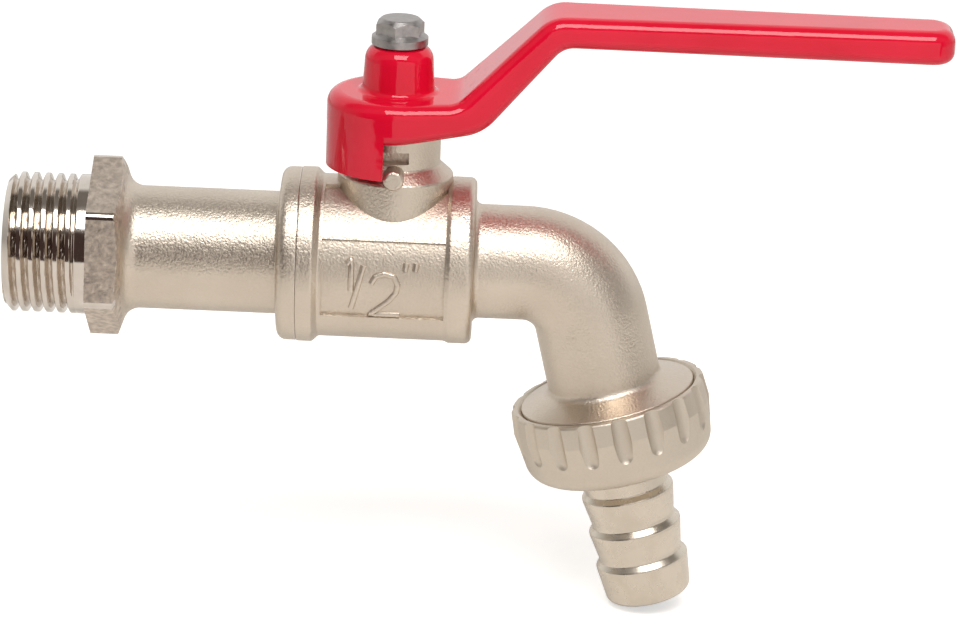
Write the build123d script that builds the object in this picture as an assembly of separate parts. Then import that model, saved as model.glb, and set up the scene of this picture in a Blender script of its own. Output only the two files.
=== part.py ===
"""Ball valve with a hose tail: a garden tap with a lever, a bent spout and a union nut.

The origin is the centre of the hexagon's face on the inlet side. +X runs along the flow and
+Z points up along the stem. The lever is drawn in the open position. Sizes are in millimetres.
"""
import os
from math import acos, atan2, cos, degrees, hypot, radians, sin, sqrt

from build123d import *

# Inlet connector
INLET_THREAD_D = 20.955  # outside diameter of a half inch pipe thread
INLET_THREAD_LENGTH = 12.6
HEX_WIDTH = 24.0  # across the flats
HEX_LENGTH = 4.0
HEX_TURN = 5.0  # degrees that the top corner leans to the back once it is screwed home
INLET_NECK_D = 18.4
INLET_NECK_LENGTH = 24.2  # hexagon to collar
COLLAR_LENGTH = 3.0
COLLAR_STEP = 0.1  # the collar is this much lower than the band beside it
SPIGOT_LENGTH = 5.3  # the part that is screwed into the body
INLET_BORE_D = 13.0
THREAD_CHAMFER = 1.1
BORE_CHAMFER = 0.6
HEX_BEVEL = 0.4
HEX_ROUND = 1.2  # long edges of the hexagon
HEX_SHOULDER = 1.2  # slope behind the hexagon
NECK_FLARE = 2.4
NECK_ROUND = 2.6
COLLAR_ROUND = 1.4
SEAM_ROUND = 0.15  # both edges of the seam

# Ball and seats
BALL_D = 17.0
PORT_D = 9.5
SEAT_DEPTH = 3.8
SEAT_BACKING = 0.1  # seat back beyond the ball's side
BALL_GAP = 0.05  # seat to ball
CHAMBER_GAP = 0.7  # ball to chamber wall
SEAT_STEP = 0.15  # seat hole beyond the ball's port, all round
PORT_STEP = 0.3  # body port beyond the ball's port, all round

# Valve body
BODY_WALL = 3.0
INLET_BAND_RISE = 0.9
INLET_BAND_LENGTH = 2.3
OUTLET_BAND_RISE = 0.3
OUTLET_BAND_LENGTH = 3.5
END_WALL = 3.6
SPIGOT_STEP = 0.85  # spigot bore beyond the chamber wall
PANEL_DEPTH = 0.45
PANEL_MARGIN = 1.4  # plain rim between a panel and a band
PANEL_LOW = -31.0  # degrees above the front line where the lower panel starts
RIB_LOW = 28.0  # lower edge of the long rib between the two panels
RIB_HIGH = 36.0  # upper edge of that rib
PANEL_HIGH = 76.0  # top of the upper panel, which runs round the boss
INLET_BAND_SLOPE = 0.9
OUTLET_BAND_SLOPE = 0.6
BODY_END_ROUND = 1.0
FORGING_ROUND = 0.5  # small rounds of the forging

# Stem boss and stops
BOSS_ROOF = 1.75
BOSS_WALL = 2.9
STEM_NECK_WALL = 2.55
STEM_NECK_RISE = 7.2  # boss top to neck top
STEM_NECK_FLARE = 1.75
STOP_D = 3.0
STOP_LIFT = 1.25  # stop post centre above the boss top
STOP_ROUND = 0.5  # edge of the post's end
STOP_GAP = 0.1  # skirt edge to stop post when the lever is home
STOP_INSET = 0.4  # stop post end inside the hub's rim
RELIEF_WIDTH = 4.2  # recess in the neck above each stop post
RELIEF_HEIGHT = 1.8
RELIEF_DEPTH = 1.9
RELIEF_LIFT = 0.1  # stop post top to the recess

# Stem
STEM_D = 8.0
STEM_COLLAR_D = 11.0
STEM_COLLAR_DEPTH = 1.6
STEM_SQUARE = 5.5
WASHER_DEPTH = 0.7
SLOT_WIDTH = 3.6
SLOT_DEPTH = 2.2
RING_GROOVE_DEPTH = 1.1
RING_SPACING = 3.6
RUNNING_FIT = 0.05  # stem to bore
COLLAR_GAP = 0.2  # thrust collar to pocket wall
COLLAR_LIFT = 0.15  # chamber top to thrust collar
RING_FIT = 0.02  # O-ring to groove and to bore
GROOVE_ROOM = 0.3  # groove width beyond the O-ring
TONGUE_FIT = 0.1  # slot width beyond the tongue
TONGUE_GAP = 0.2  # slot floor to tongue
TONGUE_SEAT_GAP = 0.4  # tongue end to seat when the tap is shut

# Lever
SKIRT_WALL = 1.6
SKIRT_GAP = 1.3  # boss to the skirt's lower edge
HUB_HEIGHT = 6.2
HUB_OVERLAP = 0.8  # hub rim below the top of the neck
HUB_GAP = 0.4  # neck to hub recess, at the side and on top
SKIRT_FIT = 0.3  # boss to skirt
SQUARE_FIT = 0.1  # lever's square hole beyond the stem's square
SHOULDER_GAP = 0.1  # stem shoulder to hub roof
TOWER_FOOT_ROUND = 0.9
TOWER_TOP_ROUND = 2.4
TOWER_BASE_D = 10.8
TOWER_TOP_D = 9.9
TOWER_HEIGHT = 7.1
TOWER_ROOF = 3.6
ARM_START = 8.9  # stem axis to the foot of the rising arm
ARM_RUN = 13.3
ARM_UNDER_START = 12.8
ARM_UNDER_RISE = 1.9  # gentle rise of the underside before the arm
ARM_UNDER_RUN = 11.4
ARM_WIDTH = 13.0
GRIP_RISE = 13.2  # hub top to grip top
GRIP_DEPTH = 5.1  # at the tip
GRIP_ROOT_DEPTH = 4.5  # at the arm
GRIP_REACH = 81.6  # stem axis to the tip
TIP_WIDTH = 10.4
LEVER_ROUND = 2.0  # upper edges
LEVER_UNDER_ROUND = 1.6  # lower edges
TIP_ROUND = 3.6
ARM_UNDER_ROUND = 7.0
HUB_UNDER_ROUND = 40.0  # long curve where the underside starts to rise
GRIP_UNDER_ROUND = 3.5
GRIP_TOP_ROUND = 5.5
ARM_FOOT_ROUND = 3.0
PLAN_ROUND = 60.0  # long curve where the arm runs into the tapered grip

# Handle screw
SCREW_D = 4.0
SCREW_LENGTH = 11.0
SCREW_HEX = 6.5
SCREW_HEAD_HEIGHT = 3.9
SCREW_FLANGE_D = 8.4
SCREW_FLANGE_DEPTH = 1.8
SCREW_RIM_DEPTH = 1.1  # plain rim of the flange
SCREW_TURN = 20.4  # degrees that the head stands turned once it is tight
SCREW_GAP = 0.02  # shank to the stem's hole
SCREW_CLEARANCE = 0.2  # shank to the lever's hole
SCREW_TIP_ROOM = 0.8  # shank end to the bottom of the hole
SCREW_BEVEL = 0.9

# Spout and outlet
SPOUT_D = 17.1
SPOUT_WALL = 2.4
ELBOW_RUN = 15.9  # body end to the corner where the two spout axes meet
ELBOW_RADIUS = 10.7
OUTLET_TILT = 13.9  # degrees that the outlet leans forward of straight down
OUTLET_DROP = 20.4  # corner to the top of the outlet head
OUTLET_THREAD_D = 26.441  # outside diameter of a three quarter inch pipe thread
OUTLET_HEAD_LENGTH = 6.6
OUTLET_HEAD_CONE = 1.7
OUTLET_HEAD_ROUND = 1.2  # spout to outlet head
OUTLET_CHAMFER = 0.8

# Union nut
NUT_WALL = 1.75
NUT_FLOOR = 1.6
NUT_TAPER = 1.1  # loss of radius from the top to the bottom
NUT_GAP = 0.08  # thread play
FLUTES = 18
FLUTE_TURN = 6.5  # degrees from the front line to the nearest flute
FLUTE_DEPTH = 0.9  # at the top rim
FLUTE_END_DEPTH = 0.45  # at the round lower end
FLUTE_WIDTH = 3.2  # diameter of the round cutter
FLUTE_LENGTH = 7.6  # top rim to the round lower end
NUT_MOUTH = 0.5  # lead-in chamfer of the thread
NUT_RIM_LEAN = 0.3  # loss of radius at the top rim
NUT_WIDEST = 3.5  # top rim to the widest level
NUT_ROUND = 3.0

# Hose tail and gasket
GASKET_DEPTH = 1.6
GASKET_GAP = 0.5  # gasket rim to nut
GASKET_STEP = 0.3  # gasket hole beyond the spout's bore
FLANGE_GAP = 0.35  # flange rim to nut
TAIL_FLANGE_DEPTH = 1.5
TAIL_D = 14.1  # over the barbs
TAIL_BORE_D = 9.5
TAIL_LENGTH = 24.9  # from the gasket to the free end
TAIL_HOLE_GAP = 0.35
BARBS = 3
BARB_DEPTH = 0.65
BARB_PITCH = 5.6
BARB_LAND = 0.5
BARB_SHOULDER = 0.8
BARB_ROUND = 0.35  # foot and crest of each shoulder
FIRST_BARB = 7.7  # gasket to the first shoulder
BARB_GROOVE = 0.6  # flat root between one barb's taper and the next shoulder
TAIL_END_ROUND = 1.2
CUT_OVER = 1.0  # how far a cutting tool passes a face

# Radii that follow from the ball outwards
ball_r = BALL_D / 2
port_r = PORT_D / 2
chamber_r = ball_r + CHAMBER_GAP
body_r = chamber_r + BODY_WALL
inlet_band_r = body_r + INLET_BAND_RISE
outlet_band_r = body_r + OUTLET_BAND_RISE
collar_r = inlet_band_r - COLLAR_STEP
spigot_bore_r = chamber_r + SPIGOT_STEP
spout_r = SPOUT_D / 2
spout_bore_r = spout_r - SPOUT_WALL

# Stations along the flow
seat_back = ball_r + SEAT_BACKING
seam_x = HEX_LENGTH + INLET_NECK_LENGTH + COLLAR_LENGTH
spigot_end_x = seam_x + SPIGOT_LENGTH
stem_x = spigot_end_x + seat_back
chamber_end_x = stem_x + seat_back
body_end_x = chamber_end_x + END_WALL

# Levels up the stem
stem_r = STEM_D / 2
stem_bore_r = stem_r + RUNNING_FIT
pocket_r = STEM_COLLAR_D / 2 + COLLAR_GAP
boss_r = pocket_r + BOSS_WALL
stem_neck_r = stem_bore_r + STEM_NECK_WALL
collar_z = chamber_r + COLLAR_LIFT
washer_z = collar_z + STEM_COLLAR_DEPTH
pocket_top_z = washer_z + WASHER_DEPTH
boss_top_z = pocket_top_z + BOSS_ROOF
neck_top_z = boss_top_z + STEM_NECK_RISE
hub_z = neck_top_z - HUB_OVERLAP
hub_roof_z = neck_top_z + HUB_GAP
hub_top_z = hub_z + HUB_HEIGHT
tower_top_z = hub_top_z + TOWER_HEIGHT
stem_top_z = tower_top_z - TOWER_ROOF
grip_top_z = hub_top_z + GRIP_RISE
slot_floor_z = ball_r - SLOT_DEPTH
skirt_r = boss_r + SKIRT_FIT
hub_r = skirt_r + SKIRT_WALL
stop_r = STOP_D / 2
stop_z = boss_top_z + STOP_LIFT
stop_reach = hub_r - STOP_INSET
ring_groove_r = stem_r - RING_GROOVE_DEPTH
ring_mid_z = (pocket_top_z + neck_top_z) / 2
ring_section_r = (stem_bore_r - ring_groove_r) / 2 - RING_FIT
ring_centre_r = (stem_bore_r + ring_groove_r) / 2

# The outlet axis, and levels measured down it from the top of the outlet head
head_r = OUTLET_THREAD_D / 2
nut_bore_r = head_r + NUT_GAP
nut_r = nut_bore_r + NUT_WALL
gasket_top = OUTLET_HEAD_LENGTH
flange_top = gasket_top + GASKET_DEPTH
flange_end = flange_top + TAIL_FLANGE_DEPTH
nut_end = flange_end + NUT_FLOOR
tail_end = flange_top + TAIL_LENGTH
crest_r = TAIL_D / 2
root_r = crest_r - BARB_DEPTH
elbow_x = body_end_x + ELBOW_RUN
down = Vector(sin(radians(OUTLET_TILT)), 0, -cos(radians(OUTLET_TILT)))
across = Vector(cos(radians(OUTLET_TILT)), 0, sin(radians(OUTLET_TILT)))
elbow_point = Vector(elbow_x, 0, 0)
OUTLET = Plane(origin=elbow_point + down * OUTLET_DROP, x_dir=across, z_dir=down)
STEM = Pos(stem_x, 0, 0)
FROM_BASE = (Align.CENTER, Align.CENTER, Align.MIN)


def outline(*corners):
    """A flat face from corners (a, b) or (a, b, corner radius)."""
    points = [(c[0], c[1]) for c in corners]
    radii = [c[2] if len(c) > 2 else 0 for c in corners]
    return make_face(FilletPolyline(*points, radius=radii, close=True))


def turned_on_x(*corners):
    """A turned solid about the flow axis, seam line at the lower back. Corners are (station, radius)."""
    return Rot(-130, 0, 0) * revolve(Plane.XZ * outline(*corners), Axis.X)


def turned_on_z(*corners):
    """A turned solid about Z, its seam line at the back. Corners are (radius, level)."""
    return Rot(0, 0, 50) * revolve(Plane.XZ * outline(*corners), Axis.Z)


def inlet_connector():
    """The male thread, the hexagon, the neck, the collar and the spigot, all in one piece."""
    thread_r = INLET_THREAD_D / 2
    neck_r = INLET_NECK_D / 2
    bore_r = INLET_BORE_D / 2
    corner_r = HEX_WIDTH / sqrt(3)
    edge_r = corner_r - HEX_ROUND * (2 / sqrt(3) - 1)
    neck_end = seam_x - COLLAR_LENGTH
    shank = turned_on_x(
        (-INLET_THREAD_LENGTH, 0),
        (-INLET_THREAD_LENGTH, thread_r - THREAD_CHAMFER),
        (-INLET_THREAD_LENGTH + THREAD_CHAMFER, thread_r),
        (HEX_LENGTH / 2, thread_r),
        (HEX_LENGTH, HEX_WIDTH / 2, FORGING_ROUND),
        (HEX_LENGTH + NECK_FLARE, neck_r, NECK_ROUND),
        (neck_end, neck_r, FORGING_ROUND),
        (neck_end, collar_r, COLLAR_ROUND),
        (seam_x, collar_r, SEAM_ROUND),
        (seam_x, spigot_bore_r - RUNNING_FIT),
        (spigot_end_x, spigot_bore_r - RUNNING_FIT),
        (spigot_end_x, 0),
    )
    section = RegularPolygon(corner_r, 6)
    section = fillet(section.vertices(), HEX_ROUND)
    prism = Rot(0, 90, 0) * extrude(section, HEX_LENGTH + HEX_SHOULDER)
    rim = turned_on_x(
        (0, 0),
        (0, edge_r + CUT_OVER / 2 - HEX_BEVEL),
        (HEX_BEVEL, edge_r + CUT_OVER / 2),
        (HEX_LENGTH, edge_r + CUT_OVER / 2, FORGING_ROUND),
        (HEX_LENGTH + HEX_SHOULDER, HEX_WIDTH / 2 - HEX_SHOULDER),
        (HEX_LENGTH + HEX_SHOULDER, 0),
    )
    solid = shank + (Rot(-HEX_TURN, 0, 0) * prism & rim)
    bore = turned_on_x(
        (-INLET_THREAD_LENGTH - CUT_OVER, 0),
        (-INLET_THREAD_LENGTH - CUT_OVER, bore_r + BORE_CHAMFER + CUT_OVER),
        (-INLET_THREAD_LENGTH + BORE_CHAMFER, bore_r),
        (neck_end, bore_r),
        (spigot_end_x, port_r),
        (spigot_end_x + CUT_OVER, port_r),
        (spigot_end_x + CUT_OVER, 0),
    )
    return solid - bore


def seat_ring(side):
    """A sealing ring that cups the ball. Side is -1 at the inlet and 1 at the outlet."""
    section = outline(
        (seat_back - SEAT_DEPTH, port_r + SEAT_STEP),
        (seat_back - SEAT_DEPTH, chamber_r - RUNNING_FIT),
        (seat_back, chamber_r - RUNNING_FIT),
        (seat_back, port_r + SEAT_STEP),
    )
    ring = revolve(Plane.XZ * (section - Circle(ball_r + BALL_GAP)), Axis.X)
    return STEM * Rot(0, 0, 0 if side > 0 else 180) * ring


def ball():
    """The drilled ball, with the drive slot across its top."""
    solid = Sphere(ball_r) - Rot(0, 90, 0) * Cylinder(port_r, BALL_D + CUT_OVER)
    slot = Pos(0, 0, slot_floor_z) * Box(SLOT_WIDTH, BALL_D, BALL_D, align=FROM_BASE)
    return STEM * (solid - slot)


def panel(low, high):
    """The metal taken away for one sunk panel on the front, between two angles above the front line."""
    left = seam_x + INLET_BAND_LENGTH + PANEL_MARGIN
    right = body_end_x - OUTLET_BAND_LENGTH - OUTLET_BAND_SLOPE
    flat = outline(
        (left, body_r - PANEL_DEPTH),
        (right, body_r - PANEL_DEPTH),
        (right, inlet_band_r + CUT_OVER),
        (left, inlet_band_r + CUT_OVER),
    )
    return Rot(90 - high, 0, 0) * revolve(Plane.XZ * flat, Axis.X, high - low)


def spout_bar(radius, start_x, length):
    """A round bar along the spout, from a station on the flow axis to a length down the outlet."""
    path = FilletPolyline((start_x, 0, 0), elbow_point, elbow_point + down * length, radius=ELBOW_RADIUS)
    return sweep(Plane(origin=path @ 0, x_dir=(0, 1, 0), z_dir=path % 0) * Circle(radius), path=path)


def stop_post():
    """The front stop post on the boss."""
    post = Cylinder(stop_r, stop_reach, align=FROM_BASE)
    post = fillet(post.edges().group_by(Axis.Z)[-1], STOP_ROUND)
    return Pos(stem_x, 0, stop_z) * Rot(90, 0, 0) * post


def stop_relief():
    """The recess in the neck just above the front stop post."""
    middle = stop_z + stop_r + RELIEF_LIFT + RELIEF_HEIGHT / 2
    return Pos(stem_x, -stem_neck_r, middle) * Box(RELIEF_WIDTH, RELIEF_DEPTH * 2, RELIEF_HEIGHT)


def valve_body():
    """The forging: ball chamber, stem boss, stop posts, spout and outlet head."""
    band_end = seam_x + INLET_BAND_LENGTH
    band_start = body_end_x - OUTLET_BAND_LENGTH
    shell = turned_on_x(
        (seam_x, 0),
        (seam_x, inlet_band_r, SEAM_ROUND),
        (band_end, inlet_band_r, FORGING_ROUND),
        (band_end + INLET_BAND_SLOPE, body_r, FORGING_ROUND),
        (band_start - OUTLET_BAND_SLOPE, body_r, FORGING_ROUND),
        (band_start, outlet_band_r, FORGING_ROUND),
        (body_end_x, outlet_band_r, BODY_END_ROUND),
        (body_end_x, spout_r, BODY_END_ROUND),
        (body_end_x + BODY_END_ROUND * 2, spout_r),
        (body_end_x + BODY_END_ROUND * 2, 0),
    )
    for sunk in (panel(PANEL_LOW, RIB_LOW), panel(RIB_HIGH, PANEL_HIGH)):
        shell -= sunk
        shell -= mirror(sunk, about=Plane.XZ)
    boss = STEM * turned_on_z(
        (0, 0),
        (boss_r, 0),
        (boss_r, boss_top_z, FORGING_ROUND),
        (stem_neck_r, boss_top_z + STEM_NECK_FLARE, FORGING_ROUND),
        (stem_neck_r, neck_top_z, FORGING_ROUND / 2),
        (0, neck_top_z),
    )
    posts = stop_post() + mirror(stop_post(), about=Plane.XZ)
    head = OUTLET * turned_on_z(
        (0, -OUTLET_HEAD_CONE * 2),
        (spout_r, -OUTLET_HEAD_CONE * 2),
        (spout_r, -OUTLET_HEAD_CONE, OUTLET_HEAD_ROUND),
        (head_r, 0, FORGING_ROUND / 2),
        (head_r, OUTLET_HEAD_LENGTH - OUTLET_CHAMFER),
        (head_r - OUTLET_CHAMFER, OUTLET_HEAD_LENGTH),
        (0, OUTLET_HEAD_LENGTH),
    )
    solid = shell + boss + posts + spout_bar(spout_r, body_end_x + BODY_END_ROUND, OUTLET_DROP) + head
    solid -= stop_relief()
    solid -= mirror(stop_relief(), about=Plane.XZ)
    chamber = turned_on_x(
        (seam_x - CUT_OVER, 0),
        (seam_x - CUT_OVER, spigot_bore_r),
        (spigot_end_x, spigot_bore_r),
        (spigot_end_x, chamber_r),
        (chamber_end_x, chamber_r),
        (chamber_end_x, port_r + PORT_STEP),
        (body_end_x, port_r + PORT_STEP),
        (body_end_x, 0),
    )
    stem_way = STEM * turned_on_z(
        (0, 0),
        (pocket_r, 0),
        (pocket_r, pocket_top_z),
        (stem_bore_r, pocket_top_z),
        (stem_bore_r, neck_top_z + CUT_OVER),
        (0, neck_top_z + CUT_OVER),
    )
    way_length = OUTLET_DROP + OUTLET_HEAD_LENGTH + CUT_OVER
    waterway = spout_bar(spout_bore_r, chamber_end_x + END_WALL / 2, way_length)
    return solid - (chamber + stem_way + waterway)


def ring_level(place):
    """The level of a stem O-ring. Place is -1 for the lower and 1 for the upper."""
    return ring_mid_z + place * RING_SPACING / 2


def stem():
    """The turned stem: tongue, thrust collar, two ring grooves, square and tapped hole."""
    solid = turned_on_z(
        (0, collar_z),
        (STEM_COLLAR_D / 2, collar_z),
        (STEM_COLLAR_D / 2, washer_z),
        (stem_r, washer_z),
        (stem_r, hub_roof_z - SHOULDER_GAP),
        (0, hub_roof_z - SHOULDER_GAP),
    )
    groove_width = ring_section_r * 2 + GROOVE_ROOM
    for place in (-1, 1):
        groove = Pos(0, 0, ring_level(place)) * Cylinder(stem_r + CUT_OVER, groove_width)
        solid -= groove - Cylinder(ring_groove_r, neck_top_z * 3)
    tongue_height = collar_z - slot_floor_z - TONGUE_GAP + STEM_COLLAR_DEPTH / 2
    tongue = Box(SLOT_WIDTH - TONGUE_FIT, STEM_COLLAR_D, tongue_height, align=FROM_BASE)
    tongue &= Cylinder(seat_back - SEAT_DEPTH - TONGUE_SEAT_GAP, tongue_height * 3)
    solid += Pos(0, 0, slot_floor_z + TONGUE_GAP) * tongue
    square_height = stem_top_z - hub_roof_z + SHOULDER_GAP * 2
    square = Box(STEM_SQUARE, STEM_SQUARE, square_height, align=FROM_BASE)
    solid += Pos(0, 0, stem_top_z - square_height) * square
    hole_depth = SCREW_LENGTH - TOWER_ROOF + SCREW_TIP_ROOM
    hole = Cylinder(SCREW_D / 2 + SCREW_GAP, hole_depth + CUT_OVER, align=FROM_BASE)
    return STEM * (solid - Pos(0, 0, stem_top_z - hole_depth) * hole)


def stem_ring(place):
    """One stem O-ring, drawn as it sits when squeezed into its groove."""
    return STEM * Pos(0, 0, ring_level(place)) * Torus(ring_centre_r, ring_section_r)


def thrust_washer():
    """The flat washer between the stem's collar and the roof of its pocket."""
    disc = Cylinder(STEM_COLLAR_D / 2, WASHER_DEPTH) - Cylinder(stem_r + RUNNING_FIT, WASHER_DEPTH * 2)
    return STEM * Pos(0, 0, washer_z + WASHER_DEPTH / 2) * disc


def lever_plan():
    """The lever seen from above: the round hub, sides that leave it along its tangents, and the grip."""
    bend_x = ARM_START + ARM_RUN
    half = ARM_WIDTH / 2
    turn = atan2(half, bend_x) + acos(hub_r / hypot(bend_x, half))
    side_x = hub_r * cos(turn)
    side_y = hub_r * sin(turn)
    bar = outline(
        (side_x, -side_y),
        (bend_x, -half, PLAN_ROUND),
        (GRIP_REACH, -TIP_WIDTH / 2, TIP_ROUND),
        (GRIP_REACH, TIP_WIDTH / 2, TIP_ROUND),
        (bend_x, half, PLAN_ROUND),
        (side_x, side_y),
    )
    return Circle(hub_r) + bar


def rim_edges(bar, side):
    """The edges between the lever's walls and its upper faces, for side 1, or lower faces, for side -1."""
    faces = bar.faces().filter_by(lambda f: f.normal_at().Z * side > 0.1)
    edges = ShapeList(e for f in faces for e in f.edges())
    tip = GRIP_REACH - TIP_ROUND
    return edges.filter_by(lambda e: abs((e % 0.5).Y) < 0.999 or e.center().X > tip)


def lever_bar():
    """The hub, the cranked arm and the grip: the side shape cut to the plan, with rounded edges."""
    grip_under_z = grip_top_z - GRIP_DEPTH
    back_x = -hub_r - CUT_OVER
    side = outline(
        (back_x, hub_z),
        (0, hub_z, HUB_UNDER_ROUND),
        (ARM_UNDER_START, hub_z + ARM_UNDER_RISE, ARM_UNDER_ROUND),
        (ARM_UNDER_START + ARM_UNDER_RUN, grip_top_z - GRIP_ROOT_DEPTH, GRIP_UNDER_ROUND),
        (GRIP_REACH + CUT_OVER, grip_under_z),
        (GRIP_REACH + CUT_OVER, grip_top_z),
        (ARM_START + ARM_RUN, grip_top_z, GRIP_TOP_ROUND),
        (ARM_START, hub_top_z, ARM_FOOT_ROUND),
        (back_x, hub_top_z),
    )
    slab = extrude(Plane.XZ * side, hub_r + CUT_OVER, both=True)
    column = Pos(0, 0, hub_z - CUT_OVER) * extrude(lever_plan(), grip_top_z - hub_z + CUT_OVER * 2)
    bar = slab & column
    bar = fillet(rim_edges(bar, 1), LEVER_ROUND)
    return fillet(rim_edges(bar, -1), LEVER_UNDER_ROUND)


def skirt():
    """The stop skirt below the hub. It fills one quarter, less the room that the posts need."""
    root_z = hub_z + (LEVER_UNDER_ROUND + HUB_HEIGHT - LEVER_ROUND) / 2
    depth = root_z - boss_top_z - SKIRT_GAP
    clear = stop_r + STOP_GAP
    ring = Cylinder(hub_r, depth, align=FROM_BASE)
    ring -= Cylinder(skirt_r, depth * 3)
    quarter = Box(hub_r, hub_r, depth * 3, align=(Align.MAX, Align.MAX, Align.CENTER))
    return Pos(0, 0, boss_top_z + SKIRT_GAP) * (ring & Pos(-clear, -clear, 0) * quarter)


def lever_handle():
    """The lever casting: hub, tower, stop skirt, arm and grip."""
    foot_r = TOWER_BASE_D / 2 + TOWER_FOOT_ROUND * 1.5
    tower = turned_on_z(
        (0, hub_roof_z),
        (foot_r, hub_roof_z),
        (foot_r, hub_top_z),
        (TOWER_BASE_D / 2, hub_top_z, TOWER_FOOT_ROUND),
        (TOWER_TOP_D / 2, tower_top_z, TOWER_TOP_ROUND),
        (0, tower_top_z),
    )
    solid = lever_bar() + tower + skirt()
    recess = turned_on_z(
        (0, hub_z - CUT_OVER),
        (stem_neck_r + HUB_GAP, hub_z - CUT_OVER),
        (stem_neck_r + HUB_GAP, hub_roof_z),
        (0, hub_roof_z),
    )
    wide = STEM_SQUARE + SQUARE_FIT
    square = Box(wide, wide, stem_top_z - hub_z, align=(Align.CENTER, Align.CENTER, Align.MAX))
    solid -= recess
    solid -= Pos(0, 0, stem_top_z) * square
    solid -= Pos(0, 0, tower_top_z) * Cylinder(SCREW_D / 2 + SCREW_CLEARANCE, TOWER_ROOF * 3)
    return STEM * solid


def handle_screw():
    """The hexagon screw with a flange, which holds the lever on the stem."""
    head_top = tower_top_z + SCREW_HEAD_HEIGHT
    corner_r = SCREW_HEX / sqrt(3)
    prism = Rot(0, 0, SCREW_TURN) * extrude(RegularPolygon(corner_r, 6), SCREW_HEAD_HEIGHT)
    crown = turned_on_z(
        (0, tower_top_z),
        (corner_r, tower_top_z),
        (corner_r, head_top - SCREW_BEVEL),
        (SCREW_HEX / 2 - SCREW_BEVEL / 2, head_top, SCREW_BEVEL / 2),
        (0, head_top),
    )
    flange = turned_on_z(
        (0, tower_top_z),
        (SCREW_FLANGE_D / 2, tower_top_z),
        (SCREW_FLANGE_D / 2, tower_top_z + SCREW_RIM_DEPTH),
        (SCREW_HEX / 2, tower_top_z + SCREW_FLANGE_DEPTH),
        (0, tower_top_z + SCREW_FLANGE_DEPTH),
    )
    shank = Cylinder(SCREW_D / 2, SCREW_LENGTH + SCREW_FLANGE_DEPTH, align=FROM_BASE)
    head = Pos(0, 0, tower_top_z) * prism & crown
    return STEM * (flange + head + Pos(0, 0, tower_top_z - SCREW_LENGTH) * shank)


def union_nut():
    """The ring nut that holds the hose tail, with flutes for the fingers round its upper rim."""
    bottom_r = nut_r - NUT_TAPER
    hole_r = crest_r + TAIL_HOLE_GAP
    solid = turned_on_z(
        (nut_bore_r, NUT_MOUTH),
        (nut_bore_r + NUT_MOUTH, 0),
        (nut_r - NUT_RIM_LEAN, 0, FORGING_ROUND),
        (nut_r, NUT_WIDEST),
        (bottom_r, nut_end, NUT_ROUND),
        (hole_r, nut_end),
        (hole_r, flange_end),
        (nut_bore_r, flange_end),
    )
    cutter_r = FLUTE_WIDTH / 2
    level = FLUTE_LENGTH - cutter_r
    end_r = nut_r - NUT_TAPER * (level - NUT_WIDEST) / (nut_end - NUT_WIDEST)
    reach = nut_r - FLUTE_DEPTH + cutter_r
    end_reach = end_r - FLUTE_END_DEPTH + cutter_r
    slant = hypot(level, end_reach - reach)
    cutter = Cylinder(cutter_r, slant * 2) + Pos(0, 0, slant) * Sphere(cutter_r)
    cutter = Rot(0, degrees(atan2(end_reach - reach, level)), 0) * cutter
    for step in range(FLUTES):
        turn = 90 - FLUTE_TURN + step * 360 / FLUTES
        solid -= Rot(0, 0, turn) * Pos(reach, 0, 0) * cutter
    return OUTLET * solid


def tail_gasket():
    """The flat rubber ring between the outlet head and the hose tail."""
    ring = turned_on_z(
        (spout_bore_r + GASKET_STEP, gasket_top),
        (nut_bore_r - GASKET_GAP, gasket_top),
        (nut_bore_r - GASKET_GAP, flange_top),
        (spout_bore_r + GASKET_STEP, flange_top),
    )
    return OUTLET * ring


def hose_tail():
    """The turned tail: a flange that the nut pulls up, and barbs that hold the hose."""
    corners = [
        (TAIL_BORE_D / 2, flange_top),
        (nut_bore_r - FLANGE_GAP, flange_top),
        (nut_bore_r - FLANGE_GAP, flange_end),
        (root_r, flange_end),
    ]
    for count in range(BARBS):
        start = flange_top + FIRST_BARB + count * BARB_PITCH
        corners.append((root_r, start - BARB_SHOULDER, BARB_ROUND))
        corners.append((crest_r, start, BARB_ROUND))
        corners.append((crest_r, start + BARB_LAND))
        if count < BARBS - 1:
            corners.append((root_r, start + BARB_PITCH - BARB_SHOULDER - BARB_GROOVE))
    corners.append((root_r, tail_end, TAIL_END_ROUND))
    corners.append((TAIL_BORE_D / 2, tail_end))
    return OUTLET * turned_on_z(*corners)


os.makedirs("parts", exist_ok=True)
export_step(valve_body(), "parts/valve_body.step")
export_step(inlet_connector(), "parts/inlet_connector.step")
export_step(seat_ring(-1), "parts/inlet_seat.step")
export_step(seat_ring(1), "parts/outlet_seat.step")
export_step(ball(), "parts/ball.step")
export_step(stem(), "parts/stem.step")
export_step(thrust_washer(), "parts/stem_thrust_washer.step")
export_step(stem_ring(-1), "parts/stem_lower_o_ring.step")
export_step(stem_ring(1), "parts/stem_upper_o_ring.step")
export_step(lever_handle(), "parts/lever_handle.step")
export_step(handle_screw(), "parts/handle_screw.step")
export_step(union_nut(), "parts/union_nut.step")
export_step(tail_gasket(), "parts/tail_gasket.step")
export_step(hose_tail(), "parts/hose_tail.step")
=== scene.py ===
# %% [markdown]
# # A garden tap in nickel and red paint
# This lesson dresses a finished CAD model of a lever ball valve with a hose tail. The CAD solids are the
# fixed frame: they already have the right sizes and places, in metres. Blender adds what a CAD solid
# lacks, which is a real screw thread, a raised size figure and the finish of each metal and paint.

# %% Load the frame
import math

import bmesh
import bpy
from mathutils import Matrix, Vector


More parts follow.
